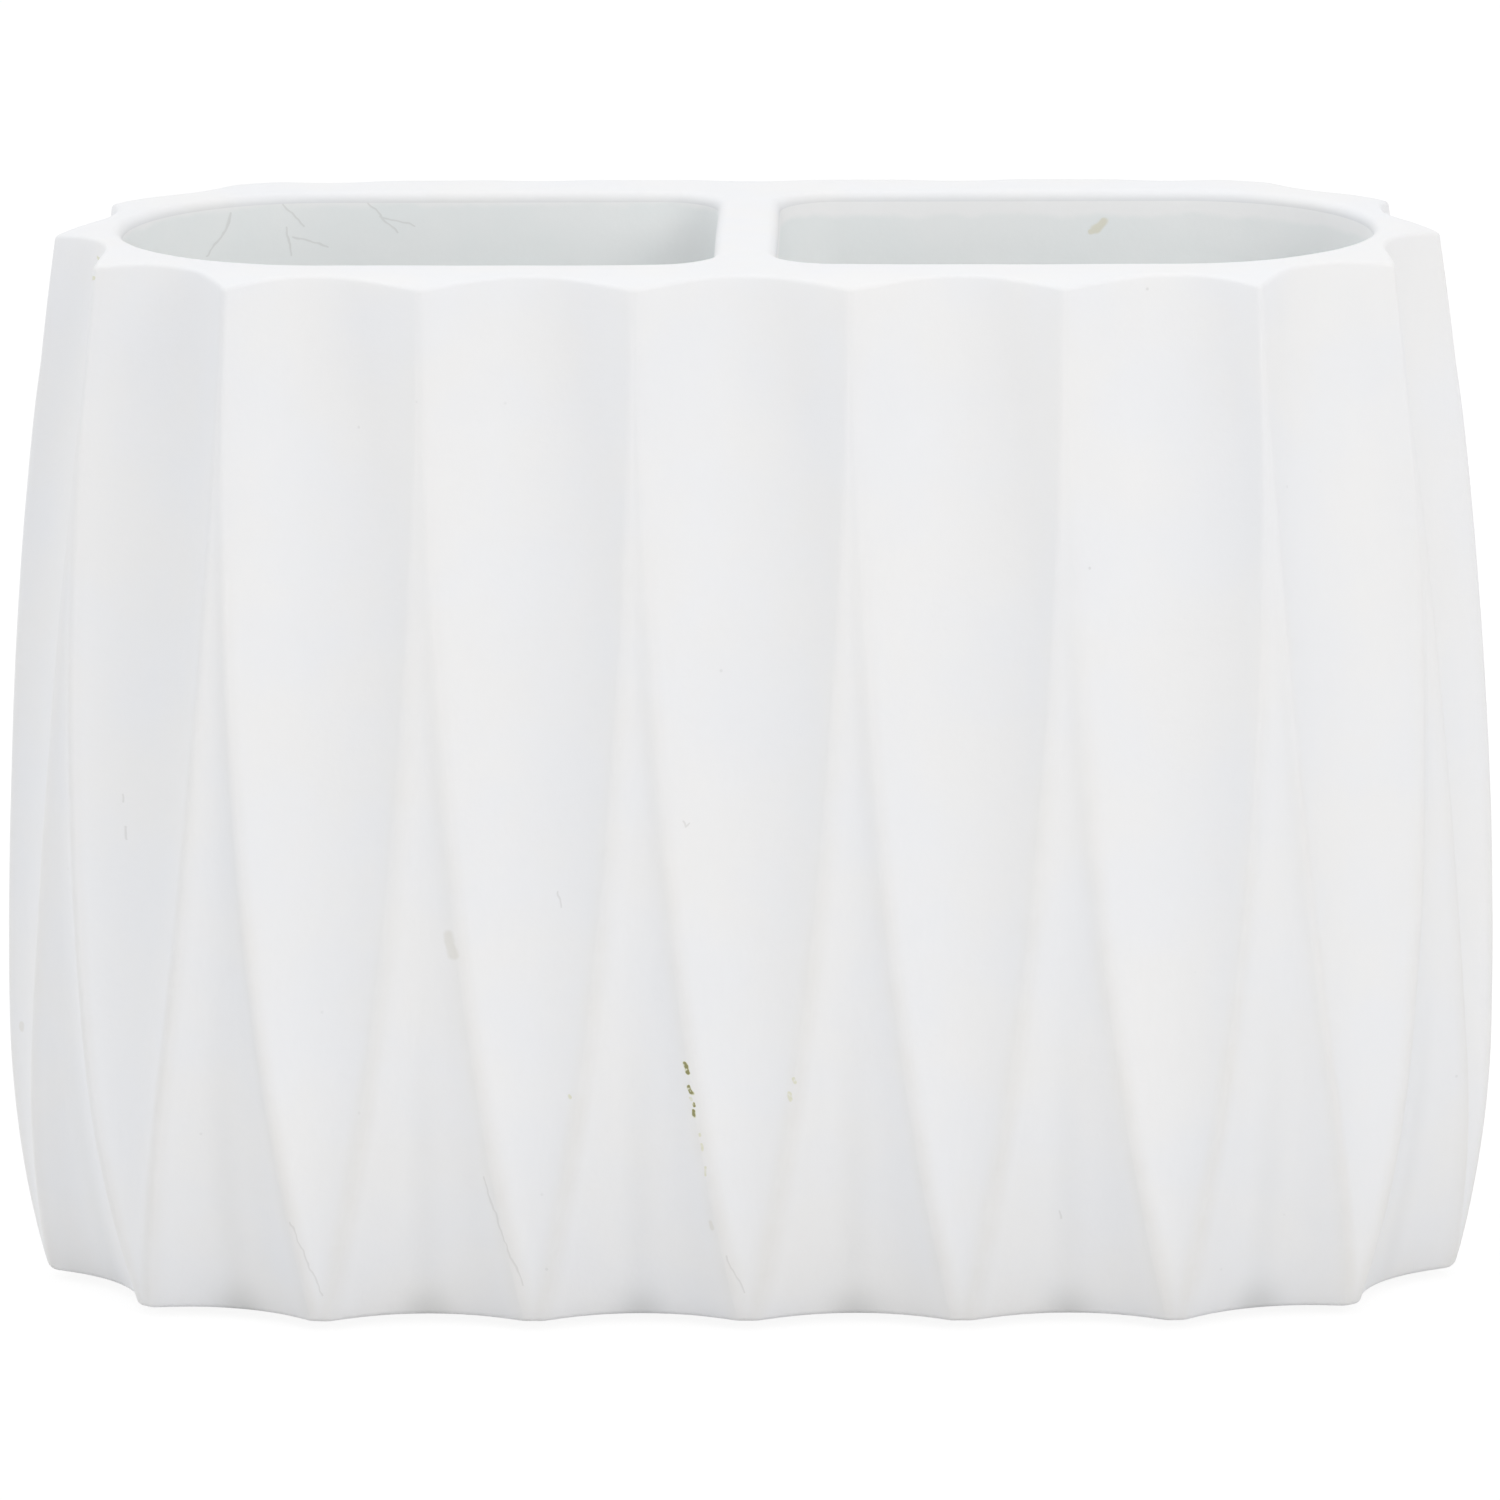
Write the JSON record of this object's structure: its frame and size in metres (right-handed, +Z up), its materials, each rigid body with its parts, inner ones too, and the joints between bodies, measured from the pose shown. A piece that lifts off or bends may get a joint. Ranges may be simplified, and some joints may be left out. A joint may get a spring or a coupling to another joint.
{
  "type": "toothbrush holder",
  "caption": "Free-standing oval toothbrush holder: a barrel-shaped wall with crossing grooves that draw long petals, a crowned rim, a divider between D-shaped compartments, soft feet.",
  "frame": {"origin": "on the standing surface, under the middle of the holder", "axes": "+X along the length, from the left compartment to the right one seen from the front; +Y from front to back; +Z up"},
  "size_m": [0.1266, 0.0596, 0.0896],
  "materials": {
    "painted_resin": "matt white paint over filled cast resin, ridges crisp, valleys soft",
    "soft_foot": "soft translucent grey, matt"
  },
  "bodies": {
    "root": {"fluted_body": "painted_resin", "foot_front_left": "soft_foot", "foot_front_right": "soft_foot", "foot_back_left": "soft_foot", "foot_back_right": "soft_foot"}
  },
  "joints": []
}
